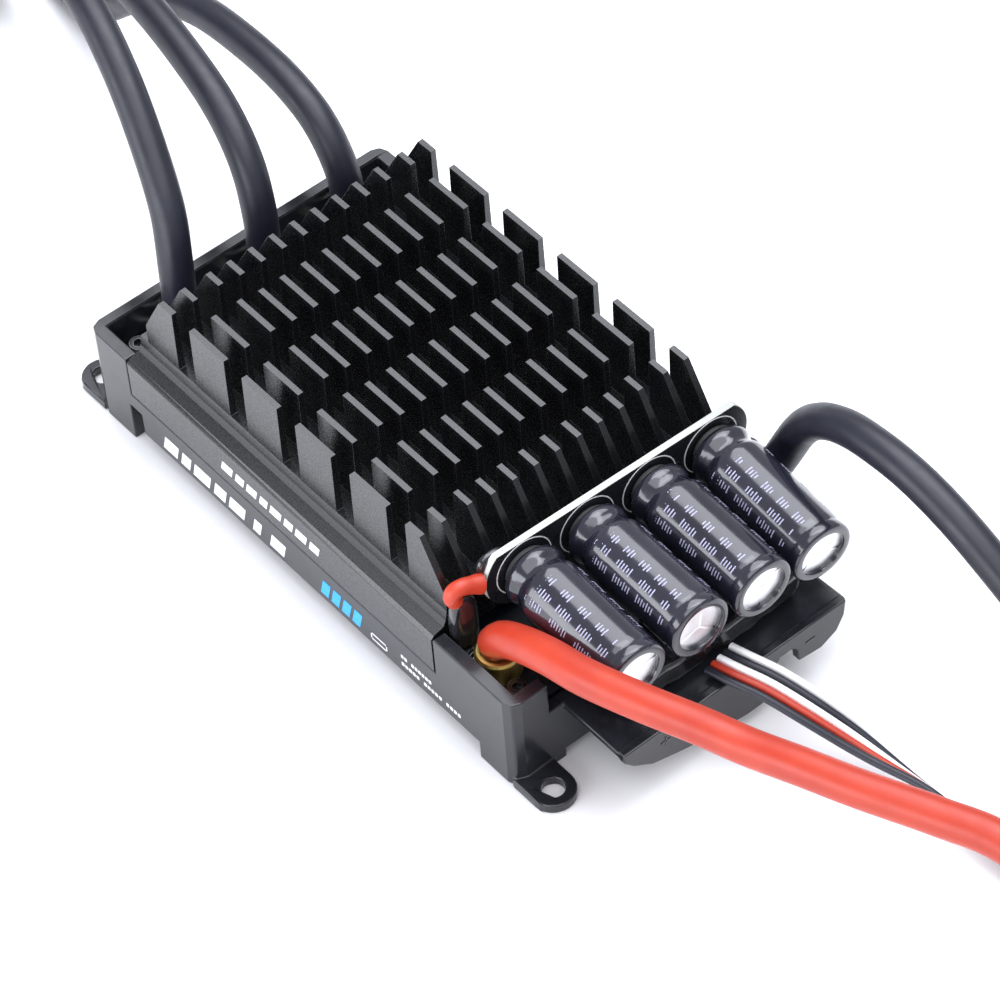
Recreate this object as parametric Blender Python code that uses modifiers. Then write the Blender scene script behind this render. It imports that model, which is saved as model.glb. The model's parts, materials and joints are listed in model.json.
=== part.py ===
"""Electronic speed controller: moulded case, finned heatsink, boards, capacitors and leads.

Frame: X runs from the motor end (-X) to the battery end (+X), Y across, Z up.
The origin is under the middle of the controller, on the surface it stands on.
Sizes below are in millimetres; MM turns them into Blender's metres.
"""
import math

import bmesh
import bpy
import numpy as np
from mathutils import Matrix, Vector

MM = 0.001
GAP = 0.3                    # clearance kept between pieces that touch

# Case
CASE_X0, CASE_X1 = -53.4, 47.4
CASE_HALF = 28.8
CASE_TOP = 18.6
END_WALL = 2.1
SIDE_WALL = 2.2
LEDGE_WALL = 3.0             # thicker lower side wall, whose top carries the power board
FLOOR_Z0, FLOOR_Z1 = 3.5, 5.1
LEDGE_Z = 10.8
POST_X0, POST_X1 = -44.5, 39.0   # inner ends of the corner posts
BOSS = 6.3                   # corner bosses that take the board screws
CORNER_CUT = 2.0
RELIEF_HALF, RELIEF_Z = 19.3, 1.8          # gap under each end wall, between the corner posts
POST_SLOT_W, POST_SLOT_Z0, POST_SLOT_Z1, POST_SLOT_DEPTH = 2.9, 2.0, 7.8, 1.8
END_CORNER = 6.9                           # full-height corner left beside the low battery end
NOTCH_X0, NOTCH_X1 = 30.2, 42.0            # notch in the far wall for the negative lead
SCREW_BORE_R = 1.3
OUTSIDE = 40.0                             # a cutter this far out is clear of the case
EAR_R, EAR_T, EAR_REACH = 3.5, 1.7, 4.0
EAR_HOLE_R = 1.75

# Capacitor tray, moulded on the battery end of the case
TRAY_X1 = 60.8
TRAY_Y0, TRAY_Y1 = -19.4, 23.2
TRAY_Z0, TRAY_Z1 = 11.1, 12.3
TRAY_LIP = 1.4

# Heatsink, with slanted end fins: the front slant starts at its foot, the back one ends there
FRONT_FOOT_X, FRONT_FOOT_Z, FRONT_TOP_X = -41.5, 25.8, -36.9
BACK_TOP_X, BACK_FOOT_Z = 24.46, 25.4
SINK_X0, SINK_X1 = -43.4, 29.6
SINK_SKIRT_T = 1.8
SINK_UNDER = 15.9
CHANNEL_Z = 21.6
SLOT_Z = 22.15
FIN_TOP_OUTER, FIN_TOP_INNER = 34.0, 33.4
FIN_PITCH = 4.025
FIN_STEP = 0.765             # extra pitch outside the seven middle fins on each side
FIN_TIP, FIN_ROOT = 0.95, 1.3
SLOT_X0, SLOT_W, SLOT_PITCH, SLOT_COUNT = -33.75, 4.33, 12.67, 5

# Thermal pad between the transistors and the heatsink, with two corner tabs
PAD_X0, PAD_X1, PAD_HALF, PAD_Z0 = -43.0, 28.0, 25.0, 14.3
PAD_TAB_X, PAD_TAB_W = -45.6, 4.5

# Boards
BOARD_X0, BOARD_X1, BOARD_HALF = -51.0, 45.0, 26.3
BOARD_Z0, BOARD_Z1 = 11.1, 12.7
SCREW_X = (-48.3, 42.2)
SCREW_Y = 23.4
SCREW_HOLE_R = 1.4
HEAD_R, HEAD_H, SHANK_R, SOCKET_R, SOCKET_DEPTH = 1.75, 1.9, 0.95, 0.85, 1.1
MOSFET_X0, MOSFET_PITCH, MOSFET_Y, MOSFET_TOP = -36.0, 11.6, 12.0, 14.0
MOSFET_HALF = (3.0, 4.0)
CONTROL_X0, CONTROL_X1, CONTROL_HALF, CONTROL_Z0, CONTROL_Z1 = -36.0, 20.0, 18.0, 6.9, 8.1
POSITIVE_AT = (36.6, -22.2)

# Capacitor bank, turned a little in plan as it is soldered by hand
BANK_Y, BANK_X, BANK_TURN = 4.1, 32.4, -1.5
CAP_PITCH, CAP_R, CAP_LEN, CAP_Z = 11.6, 5.2, 24.7, 25.2
CAP_STANDOFF = 1.2
CAP_AIMS = ((-0.5, -0.9), (-0.6, 1.1), (-0.6, -0.3), (-1.7, -2.5))   # degrees in plan and up
CAP_COUNT = len(CAP_AIMS)
BUNG_R = 3.7
BANK_BOARD_T = 1.2
BANK_BOARD_TOP = 30.3
BANK_BOARD_END_R = 6.9       # round ends about the outer capacitors
LEAD_SPACING, LEAD_R, LEAD_HOLE_R = 5.0, 0.35, 0.7

# Free leads
POWER_D = 5.5
LINK_D = 2.6
SIGNAL_D = 1.3
SIGNAL_PITCH = 1.36
TIP_LEN, TIP_R = 7.0, 1.9
PLUG = (14.0, 7.6, 2.6)

MOTOR_ROUTES = {
    "motor_wire_a": [(-46.8, -15.9, 13.4), (-46.6, -15.9, 20.0), (-47.4, -15.2, 27.5),
                     (-50.6, -13.2, 34.6), (-58.0, -10.4, 41.4), (-68.3, -7.2, 48.0),
                     (-80.3, -4.3, 52.2), (-93.5, -2.5, 51.5), (-106.0, -1.5, 44.0),
                     (-116.5, -0.8, 32.4), (-125.5, 0.0, 19.4), (-134.0, 0.8, 9.4),
                     (-143.2, 1.5, 3.6), (-150.5, 2.0, 2.9), (-158.5, 2.6, 2.9)],
    "motor_wire_b": [(-46.8, 0.5, 13.4), (-46.6, 0.5, 20.5), (-47.3, 0.9, 27.5),
                     (-51.0, 2.2, 34.2), (-58.6, 3.9, 39.0), (-71.2, 5.8, 42.0),
                     (-84.7, 7.6, 42.8), (-98.0, 9.2, 41.5), (-110.5, 10.6, 35.6),
                     (-121.0, 11.8, 25.8), (-130.0, 12.8, 14.8), (-138.5, 13.6, 6.6),
                     (-148.0, 14.2, 3.1), (-156.0, 14.7, 2.9), (-165.5, 15.2, 2.9)],
    "motor_wire_c": [(-46.8, 17.3, 13.8), (-46.8, 17.3, 18.8), (-48.6, 17.5, 25.4),
                     (-53.8, 17.9, 30.9), (-62.0, 18.3, 33.5), (-73.8, 18.7, 33.6),
                     (-85.2, 19.0, 31.8), (-97.5, 19.2, 26.4), (-107.5, 19.8, 18.6),
                     (-116.5, 20.6, 10.4), (-126.0, 21.8, 4.8), (-137.0, 23.4, 2.9),
                     (-149.0, 25.2, 2.9), (-158.5, 26.3, 2.9), (-168.0, 27.1, 2.9)],
}
BATTERY_ROUTES = {
    "battery_wire_red": [(35.8, -21.9, 17.6), (37.4, -22.0, 19.9), (40.0, -22.1, 22.1),
                         (43.3, -22.0, 23.9), (48.6, -22.0, 26.3), (56.2, -21.8, 28.6),
                         (65.6, -19.6, 30.0), (74.5, -16.6, 30.6), (81.6, -14.3, 30.8),
                         (89.7, -12.1, 32.4), (98.6, -9.4, 33.6), (109.6, -5.1, 34.4),
                         (118.0, -2.0, 34.6), (128.0, -0.2, 32.0), (139.0, -0.8, 25.6),
                         (149.0, -4.4, 16.8), (157.5, -10.6, 8.6), (165.0, -18.4, 3.8),
                         (169.4, -25.0, 2.9), (172.2, -31.5, 2.9)],
    "battery_wire_black": [(38.5, 19.8, 15.9), (38.6, 23.1, 16.3), (38.8, 25.8, 17.4),
                           (39.1, 28.1, 19.1), (39.6, 29.8, 21.4), (40.4, 30.9, 24.1),
                           (41.6, 31.3, 27.0),
                           (43.6, 31.6, 30.4), (47.4, 31.5, 34.2), (52.4, 31.3, 36.9),
                           (58.4, 31.0, 38.4), (66.0, 30.9, 38.6), (74.6, 31.0, 36.6),
                           (84.2, 31.2, 32.4), (95.0, 31.8, 26.0), (105.6, 32.8, 18.6),
                           (115.8, 34.0, 11.0), (126.0, 35.2, 5.2), (136.6, 36.2, 2.9),
                           (149.0, 36.8, 2.9), (158.0, 36.8, 2.9), (168.0, 36.5, 2.9)],
}
LINK_ROUTES = {
    "link_wire_red": [(31.9, -20.75, 26.5), (31.6, -22.2, 27.1), (31.35, -23.7, 27.6),
                      (31.1, -24.9, 27.4), (31.0, -25.4, 26.4), (31.0, -24.9, 25.2)],
    "link_wire_black": [(35.05, 27.35, 21.9), (35.0, 27.3, 20.2), (34.7, 26.8, 18.2),
                        (34.3, 25.7, 16.2), (34.1, 24.2, 14.6)],
}
SIGNAL_ROUTE = [(57.0, 1.9, 13.6), (60.2, 2.5, 14.0), (65.2, 4.6, 13.1), (71.0, 7.0, 10.9),
                (76.8, 9.5, 8.0), (83.6, 11.7, 5.2), (90.6, 13.0, 4.0), (98.6, 14.0, 3.4),
                (107.0, 15.2, 2.2), (116.0, 17.4, 1.1), (126.0, 20.2, 0.9), (137.5, 22.6, 0.9),
                (149.5, 23.6, 0.9), (158.2, 21.4, 0.9), (163.2, 14.8, 0.9), (163.6, 6.6, 0.9),
                (159.0, -0.8, 0.9), (151.0, -4.0, 0.9), (141.0, -4.8, 0.9), (132.0, -3.4, 0.9),
                (127.0, 2.2, 0.9), (129.2, 8.4, 0.9), (135.0, 10.4, 0.9), (141.0, 10.3, 0.9)]
TWIST_PEAK, TWIST_AT, TWIST_SPREAD = 60.0, 38.0, 13.0    # degrees, and mm along the route
SIGNAL_NAMES = ("signal_wire_black_a", "signal_wire_red", "signal_wire_white_a",
                "signal_wire_black_b", "signal_wire_white_b")

LOOKS = {
    "case_plastic": ((0.020, 0.021, 0.023, 1), 0.45, 0.0),
    "anodised_aluminium": ((0.018, 0.018, 0.020, 1), 0.42, 0.9),
    "thermal_pad_blue": ((0.02, 0.08, 0.42, 1), 0.8, 0.0),
    "circuit_board_black": ((0.010, 0.010, 0.012, 1), 0.35, 0.0),
    "chip_epoxy": ((0.015, 0.015, 0.015, 1), 0.55, 0.0),
    "capacitor_sleeve": ((0.014, 0.012, 0.022, 1), 0.18, 0.0),
    "rubber_bung": ((0.03, 0.03, 0.03, 1), 0.7, 0.0),
    "steel_black_oxide": ((0.05, 0.05, 0.055, 1), 0.35, 1.0),
    "gold_plate": ((0.83, 0.55, 0.12, 1), 0.2, 1.0),
    "tinned_copper": ((0.72, 0.72, 0.70, 1), 0.3, 1.0),
    "silicone_black": ((0.022, 0.022, 0.025, 1), 0.5, 0.0),
    "silicone_red": ((0.80, 0.045, 0.02, 1), 0.5, 0.0),
    "silicone_white": ((0.85, 0.85, 0.84, 1), 0.5, 0.0),
    "sealing_compound": ((0.012, 0.012, 0.012, 1), 0.15, 0.0),
    "connector_plastic": ((0.02, 0.02, 0.02, 1), 0.5, 0.0),
}


# ---------------------------------------------------------------- scene helpers

def clear_scene():
    for item in list(bpy.data.objects):
        bpy.data.objects.remove(item, do_unlink=True)


def new_collection(name):
    collection = bpy.data.collections.new(name)
    bpy.context.scene.collection.children.link(collection)
    return collection


def make_material(name):
    colour, roughness, metallic = LOOKS[name]
    material = bpy.data.materials.get(name) or bpy.data.materials.new(name)
    material.use_nodes = True
    shader = material.node_tree.nodes["Principled BSDF"]
    shader.inputs["Base Color"].default_value = colour
    shader.inputs["Roughness"].default_value = roughness
    shader.inputs["Metallic"].default_value = metallic
    material.diffuse_color = colour
    return material


def add_object(name, data, look=None):
    obj = bpy.data.objects.new(name, data)
    if look:
        data.materials.append(make_material(look))
        PARTS.objects.link(obj)
    else:
        CUTTERS.objects.link(obj)
        obj.hide_render = True
        obj.display_type = "WIRE"
    return obj


def mesh_from(bm, name):
    mesh = bpy.data.meshes.new(name)
    bmesh.ops.recalc_face_normals(bm, faces=bm.faces)
    bm.to_mesh(mesh)
    bm.free()
    return mesh


def box(name, low, high, look=None):
    """A box between two corners, given in millimetres."""
    low, high = Vector(low), Vector(high)
    bm = bmesh.new()
    bmesh.ops.create_cube(bm, size=MM)
    bmesh.ops.scale(bm, vec=high - low, verts=bm.verts)
    obj = add_object(name, mesh_from(bm, name), look)
    obj.location = (low + high) / 2 * MM
    return obj


def rod(name, radius, low, high, look=None, sides=24):
    """An upright cylinder from the centre of its lower face to that of its upper face."""
    low, high = Vector(low), Vector(high)
    bm = bmesh.new()
    bmesh.ops.create_cone(bm, cap_ends=True, segments=sides, radius1=radius * MM,
                          radius2=radius * MM, depth=(high - low).length * MM)
    obj = add_object(name, mesh_from(bm, name), look)
    obj.location = (low + high) / 2 * MM
    obj.rotation_euler = (high - low).to_track_quat("Z", "Y").to_euler()
    return obj


def shade_round(obj, angle=35.0):
    obj.data.shade_smooth()
    obj.data.set_sharp_from_angle(angle=math.radians(angle))


def baked_mesh(obj):
    """The object's evaluated mesh, with loose caps welded."""
    bpy.context.view_layer.update()
    graph = bpy.context.evaluated_depsgraph_get()
    mesh = bpy.data.meshes.new_from_object(obj.evaluated_get(graph))
    bm = bmesh.new()
    bm.from_mesh(mesh)
    bmesh.ops.remove_doubles(bm, verts=bm.verts, dist=1e-7)
    bmesh.ops.recalc_face_normals(bm, faces=bm.faces)
    bm.to_mesh(mesh)
    bm.free()
    return mesh


def as_mesh_object(obj, look=None):
    """Replace a curve or a modified object by a plain mesh object in the same place."""
    name = obj.name
    mesh = baked_mesh(obj)
    matrix = obj.matrix_world.copy()
    bpy.data.objects.remove(obj, do_unlink=True)
    mesh.materials.clear()
    solid = add_object(name, mesh, look)
    solid.matrix_world = matrix
    return solid


def outline(name, points, thickness, look=None):
    """A flat outline in its own XY plane, extruded to the given thickness about that plane."""
    curve = bpy.data.curves.new(name, "CURVE")
    curve.dimensions = "2D"
    curve.fill_mode = "BOTH"
    curve.extrude = thickness * MM / 2
    spline = curve.splines.new("POLY")
    spline.points.add(len(points) - 1)
    for place, (x, y) in zip(spline.points, points):
        place.co = (x * MM, y * MM, 0.0, 1.0)
    spline.use_cyclic_u = True
    obj = add_object(name, curve, look)
    return obj


STAND_ALONG_X = Matrix(((0, 0, 1), (1, 0, 0), (0, 1, 0))).to_4x4()    # outline (y, z), depth X
STAND_ALONG_Y = Matrix(((1, 0, 0), (0, 0, -1), (0, 1, 0))).to_4x4()   # outline (x, z), depth Y


def combine(obj, other, operation):
    """Apply a Boolean with an object made for it, and remove that object."""
    step = obj.modifiers.new(operation.lower(), "BOOLEAN")
    step.operation = operation
    step.solver = "EXACT"
    step.object = other
    look = obj.data.materials[0].name if obj.data.materials else None
    solid = as_mesh_object(obj, look)
    bpy.data.objects.remove(other, do_unlink=True)
    return solid


def combine_all(obj, others, operation):
    for other in others:
        obj = combine(obj, other, operation)
    return obj


def bevel(obj, width, segments=2, angle=40.0):
    step = obj.modifiers.new("rounded_edges", "BEVEL")
    step.width = width * MM
    step.segments = segments
    step.limit_method = "ANGLE"
    step.angle_limit = math.radians(angle)
    return obj


def turned(name, profile, look, steps=24):
    """A solid turned about Z from (radius, height) points, top to bottom on its outer side."""
    mesh = bpy.data.meshes.new(name)
    points = [(r * MM, 0.0, z * MM) for r, z in profile]
    mesh.from_pydata(points, [(i, i + 1) for i in range(len(points) - 1)], [])
    obj = add_object(name, mesh, look)
    screw = obj.modifiers.new("turned", "SCREW")
    screw.steps = steps
    screw.render_steps = steps
    screw.use_merge_vertices = True
    screw.merge_threshold = 0.00001
    return as_mesh_object(obj, look)


# ---------------------------------------------------------------- smooth routes

def smooth_path(points, spacing):
    """Evenly spaced points along a centripetal curve through the given ones."""
    knots = [np.array(p, float) for p in points]
    knots = [2 * knots[0] - knots[1]] + knots + [2 * knots[-1] - knots[-2]]
    dense = []
    for a, b, c, d in zip(knots, knots[1:], knots[2:], knots[3:]):
        t1 = math.sqrt(np.linalg.norm(b - a))
        t2 = t1 + math.sqrt(np.linalg.norm(c - b))
        t3 = t2 + math.sqrt(np.linalg.norm(d - c))
        for t in np.linspace(t1, t2, 16, endpoint=False):
            ab = a + (b - a) * t / t1
            bc = b + (c - b) * (t - t1) / (t2 - t1)
            cd = c + (d - c) * (t - t2) / (t3 - t2)
            abc = ab + (bc - ab) * t / t2
            bcd = bc + (cd - bc) * (t - t1) / (t3 - t1)
            dense.append(abc + (bcd - abc) * (t - t1) / (t2 - t1))
    dense.append(knots[-2])
    dense = np.array(dense)
    along = np.concatenate(([0.0], np.cumsum(np.linalg.norm(np.diff(dense, axis=0), axis=1))))
    count = max(4, round(along[-1] / spacing) + 1)
    places = np.linspace(0.0, along[-1], count)
    return np.array([np.interp(places, along, dense[:, k]) for k in range(3)]).T, along[-1]


def tube(name, path, diameter, look, resolution=3):
    curve = bpy.data.curves.new(name, "CURVE")
    curve.dimensions = "3D"
    curve.bevel_depth = diameter * MM / 2
    curve.bevel_resolution = resolution
    curve.use_fill_caps = True
    spline = curve.splines.new("POLY")
    spline.points.add(len(path) - 1)
    for place, (x, y, z) in zip(spline.points, path):
        place.co = (x * MM, y * MM, z * MM, 1.0)
    return add_object(name, curve, look)


# ---------------------------------------------------------------- case

def add_ears(body):
    """Four mounting ears with a screw hole each."""
    for x_end, side_x in ((CASE_X0, -1), (CASE_X1, 1)):
        for side_y in (-1, 1):
            cx = x_end + side_x * EAR_REACH
            cy = side_y * (CASE_HALF - EAR_R)
            arc = [(cx + side_x * EAR_R * math.sin(a), cy + EAR_R * math.cos(a))
                   for a in np.linspace(0.0, math.pi, 13)]
            root = x_end - side_x * 1.0
            points = [(root, cy + EAR_R)] + arc + [(root, cy - EAR_R)]
            ear = outline("ear", points, EAR_T)
            ear.location.z = EAR_T * MM / 2
            body = combine(body, as_mesh_object(ear), "UNION")
            hole = rod("ear_hole", EAR_HOLE_R, (cx, cy, -1.0), (cx, cy, EAR_T + 1.0), sides=20)
            body = combine(body, hole, "DIFFERENCE")
    return body


def add_tray(body):
    """The shelf under the capacitors and its front lip, notched for the signal wires."""
    shelf = box("shelf", (CASE_X1 - 1.0, TRAY_Y0, TRAY_Z0), (TRAY_X1 - 0.5, TRAY_Y1, TRAY_Z1))
    top = TRAY_Z1 + 0.4
    lip_points = [(TRAY_Y0, top), (TRAY_Y0, TRAY_Z0 - 0.2), (-17.6, 8.8), (-14.6, 6.6),
                  (-9.5, 5.0), (-3.0, 3.3), (3.0, 2.4), (7.0, 2.4), (8.7, 3.2), (9.4, 5.0),
                  (9.6, 9.0), (10.4, 10.0), (12.8, 10.0), (13.6, 9.0), (13.8, 6.4),
                  (18.4, 5.8), (21.4, 7.2), (22.8, 9.6), (TRAY_Y1, top)]
    lip = outline("lip", lip_points, TRAY_LIP)
    lip.matrix_world = Matrix.Translation(((TRAY_X1 - TRAY_LIP / 2) * MM, 0, 0)) @ STAND_ALONG_X
    bpy.context.view_layer.update()
    body = combine(body, shelf, "UNION")
    return combine(body, as_mesh_object(lip), "UNION")


def make_case():
    body = box("case_body", (CASE_X0, -CASE_HALF, 0.0), (CASE_X1, CASE_HALF, CASE_TOP), "case_plastic")
    corners = body.modifiers.new("corners", "BEVEL")
    corners.width = CORNER_CUT * MM
    corners.segments = 2
    corners.limit_method = "WEIGHT"
    weights = body.data.attributes.new("bevel_weight_edge", "FLOAT", "EDGE")
    for edge in body.data.edges:
        a, b = (body.data.vertices[i].co for i in edge.vertices)
        weights.data[edge.index].value = 1.0 if abs(a.z - b.z) > 0.5 * CASE_TOP * MM else 0.0
    body = as_mesh_object(body, "case_plastic")
    ledge_in = CASE_HALF - LEDGE_WALL
    wall_in = CASE_HALF - SIDE_WALL
    x0, x1 = CASE_X0 + END_WALL, CASE_X1 - END_WALL
    high = CASE_TOP + 5.0
    cuts = [
        box("well", (x0 + BOSS, -ledge_in, FLOOR_Z1), (x1 - BOSS, ledge_in, high)),
        box("well_ends", (x0, -ledge_in + BOSS, FLOOR_Z1), (x1, ledge_in - BOSS, high)),
        box("upper_bay", (x0, -wall_in, LEDGE_Z), (x1, wall_in, high)),
        box("skirt_seat", (SINK_X0 - GAP, -OUTSIDE, LEDGE_Z), (SINK_X1 + GAP, OUTSIDE, high)),
        box("underside", (POST_X0, -OUTSIDE, -2.0), (POST_X1, OUTSIDE, FLOOR_Z0)),
        box("end_relief_0", (CASE_X0 - 2.0, -RELIEF_HALF, -2.0), (POST_X0 + 1.0, RELIEF_HALF, RELIEF_Z)),
        box("end_relief_1", (POST_X1 - 1.0, -RELIEF_HALF, -2.0), (CASE_X1 + 2.0, RELIEF_HALF, RELIEF_Z)),
        box("low_end", (x1 - 1.0, END_CORNER - CASE_HALF, TRAY_Z1),
            (CASE_X1 + 2.0, CASE_HALF - END_CORNER, high)),
        box("wire_notch", (NOTCH_X0, ledge_in - 1.0, BOARD_Z1 + 0.5), (NOTCH_X1, OUTSIDE, high)),
    ]
    for side in (-1, 1):
        low_y, high_y = sorted((side * (CASE_HALF - POST_SLOT_DEPTH), side * OUTSIDE))
        slot_end = POST_X0 + POST_SLOT_W
        cuts.append(box("post_slot", (POST_X0, low_y, POST_SLOT_Z0), (slot_end, high_y, POST_SLOT_Z1)))
        for x in SCREW_X:
            low, high_end = (x, side * SCREW_Y, FLOOR_Z1 + 1.0), (x, side * SCREW_Y, LEDGE_Z + 1.0)
            cuts.append(rod("screw_bore", SCREW_BORE_R, low, high_end, sides=16))
    body = combine_all(body, cuts, "DIFFERENCE")
    body = add_ears(body)
    return add_tray(body)


# ---------------------------------------------------------------- heatsink

def fin_centres():
    """Thirteen fins, closer together in the middle than at the sides."""
    places = [k * FIN_PITCH for k in range(5)]
    places += [4 * FIN_PITCH + FIN_PITCH + FIN_STEP, 4 * FIN_PITCH + 2 * FIN_PITCH + FIN_STEP]
    return sorted([-y for y in places[1:]] + places)


def sink_section():
    """The cross section in (y, z), going round from the bottom of the -Y skirt."""
    fins = fin_centres()
    edge = CASE_HALF
    shoulder = [(-edge, LEDGE_Z + GAP), (-edge, 18.1), (-edge + 0.6, 18.8), (-edge + 2.4, 19.3),
                (-edge + 2.9, 20.3)]
    points = []
    for index, y in enumerate(fins):
        outer = index in (0, 1, 2, 10, 11, 12)
        top = FIN_TOP_OUTER if outer else FIN_TOP_INNER
        left_root = SLOT_Z if index == 0 else CHANNEL_Z
        right_root = SLOT_Z if index == len(fins) - 1 else CHANNEL_Z
        tip, root = FIN_TIP / 2, FIN_ROOT / 2
        points += [(y - root, left_root), (y - tip, top), (y + tip, top), (y + root, right_root)]
    left = shoulder + points
    right = [(-y, z) for y, z in reversed(shoulder)]
    inner = edge - SINK_SKIRT_T
    under = [(inner, LEDGE_Z + GAP), (inner, SINK_UNDER), (-inner, SINK_UNDER), (-inner, LEDGE_Z + GAP)]
    return left + right + under


def make_heatsink():
    length = SINK_X1 - SINK_X0
    section = outline("heatsink", sink_section(), length, "anodised_aluminium")
    section.matrix_world = Matrix.Translation(((SINK_X0 + SINK_X1) / 2 * MM, 0, 0)) @ STAND_ALONG_X
    bpy.context.view_layer.update()
    sink = as_mesh_object(section, "anodised_aluminium")
    cuts = []
    for k in range(SLOT_COUNT):
        x = SLOT_X0 + k * SLOT_PITCH
        cuts.append(box("cross_slot", (x, -OUTSIDE, SLOT_Z), (x + SLOT_W, OUTSIDE, OUTSIDE)))
    before, after = SINK_X0 - 3.0, SINK_X1 + 1.4
    front = [(before, SLOT_Z), (FRONT_FOOT_X, SLOT_Z), (FRONT_FOOT_X, FRONT_FOOT_Z),
             (FRONT_TOP_X, FIN_TOP_OUTER + 0.1), (FRONT_TOP_X, OUTSIDE), (before, OUTSIDE)]
    back = [(BACK_TOP_X, FIN_TOP_OUTER + 0.1), (SINK_X1 - 0.1, BACK_FOOT_Z), (after, SLOT_Z),
            (after, OUTSIDE), (BACK_TOP_X, OUTSIDE)]
    for points in (front, back):
        wedge = outline("end_chamfer", points, 80.0)
        wedge.matrix_world = STAND_ALONG_Y.copy()
        bpy.context.view_layer.update()
        cuts.append(as_mesh_object(wedge))
    return combine_all(sink, cuts, "DIFFERENCE")


def make_thermal_pad():
    top = SINK_UNDER - GAP
    pad = box("thermal_pad", (PAD_X0, -PAD_HALF, PAD_Z0), (PAD_X1, PAD_HALF, top), "thermal_pad_blue")
    tabs = [box("tab", (PAD_TAB_X, low, PAD_Z0), (PAD_X0 + 1.0, low + PAD_TAB_W, top))
            for low in (-PAD_HALF, PAD_HALF - PAD_TAB_W)]
    return combine_all(pad, tabs, "UNION")


# ---------------------------------------------------------------- boards and chips

def make_power_board():
    board = box("power_board", (BOARD_X0, -BOARD_HALF, BOARD_Z0), (BOARD_X1, BOARD_HALF, BOARD_Z1),
                "circuit_board_black")
    holes = []
    for x in SCREW_X:
        for y in (-SCREW_Y, SCREW_Y):
            holes.append(rod("hole", SCREW_HOLE_R, (x, y, BOARD_Z0 - 1), (x, y, BOARD_Z1 + 1), sides=16))
    return combine_all(board, holes, "DIFFERENCE")


def make_screws():
    """Socket-head screws that hold the power board to the corner bosses."""
    seat = BOARD_Z1 + GAP
    for number, (x, side) in enumerate([(x, s) for x in SCREW_X for s in (-1, 1)], 1):
        y = side * SCREW_Y
        head_top = seat + HEAD_H
        profile = [(0.0, head_top), (HEAD_R - 0.3, head_top), (HEAD_R, head_top - 0.3), (HEAD_R, seat),
                   (SHANK_R, seat), (SHANK_R, FLOOR_Z1 + 1.6), (0.0, FLOOR_Z1 + 1.3)]
        screw = turned(f"board_screw_{number}", profile, "steel_black_oxide", steps=20)
        socket = rod("socket", SOCKET_R, (0, 0, head_top - SOCKET_DEPTH), (0, 0, head_top + 1.0), sides=6)
        screw = combine(screw, socket, "DIFFERENCE")
        screw.location = (x * MM, y * MM, 0.0)


def make_chips():
    """Power transistors under the pad, and the control board with its chips below."""
    z0 = BOARD_Z1 + GAP
    number = 0
    for column in range(6):
        for side in (-1, 1):
            number += 1
            x, y = MOSFET_X0 + MOSFET_PITCH * column, side * MOSFET_Y
            low = (x - MOSFET_HALF[0], y - MOSFET_HALF[1], z0)
            high = (x + MOSFET_HALF[0], y + MOSFET_HALF[1], MOSFET_TOP)
            bevel(box(f"mosfet_{number:02d}", low, high, "chip_epoxy"), 0.15, 1)
    box("control_board", (CONTROL_X0, -CONTROL_HALF, CONTROL_Z0), (CONTROL_X1, CONTROL_HALF, CONTROL_Z1),
        "circuit_board_black")
    on_board = CONTROL_Z1 + GAP
    box("board_header", (-12.0, -14.0, on_board), (8.0, -11.4, BOARD_Z0 - GAP), "connector_plastic")
    bevel(box("microcontroller", (-6.0, -3.5, on_board), (1.0, 3.5, on_board + 1.1), "chip_epoxy"), 0.15, 1)
    for number, x in enumerate((-30.0, -20.0, 10.0), 1):
        low, high = (x - 2.5, 2.0, on_board), (x + 2.5, 7.0, on_board + 0.9)
        bevel(box(f"gate_driver_{number}", low, high, "chip_epoxy"), 0.15, 1)


def make_terminals():
    z0 = BOARD_Z1 + GAP
    profile = [(0.0, z0 + 2.6), (2.4, z0 + 2.6), (2.7, z0 + 4.1), (3.2, z0 + 4.1), (3.5, z0 + 3.7),
               (3.5, z0), (0.0, z0)]
    post = turned("positive_terminal", profile, "gold_plate", steps=28)
    post.location = (POSITIVE_AT[0] * MM, POSITIVE_AT[1] * MM, 0.0)
    tab = box("negative_terminal", (34.6, 13.4, z0), (41.0, 19.4, z0 + 1.9), "gold_plate")
    bevel(tab, 0.5, 2)


# ---------------------------------------------------------------- capacitor bank

def bank_place(x, y, z):
    """Move a point from the bank's own frame to the object's, in millimetres."""
    turn = math.radians(BANK_TURN)
    return (BANK_X + x * math.cos(turn) - y * math.sin(turn),
            BANK_Y + x * math.sin(turn) + y * math.cos(turn), z)


def bank_matrix(x, y, z, tilt_to_x=False, aim=(0.0, 0.0)):
    """Place a piece on the bank; with tilt_to_x its own Z axis points forward, aimed in plan and up."""
    matrix = Matrix.Translation(Vector(bank_place(x, y, z)) * MM)
    matrix @= Matrix.Rotation(math.radians(BANK_TURN + aim[0]), 4, "Z")
    if tilt_to_x:
        matrix @= Matrix.Rotation(math.radians(90 - aim[1]), 4, "Y")
    return matrix


def cap_places():
    return [(k - (CAP_COUNT - 1) / 2) * CAP_PITCH for k in range(CAP_COUNT)]


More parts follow.
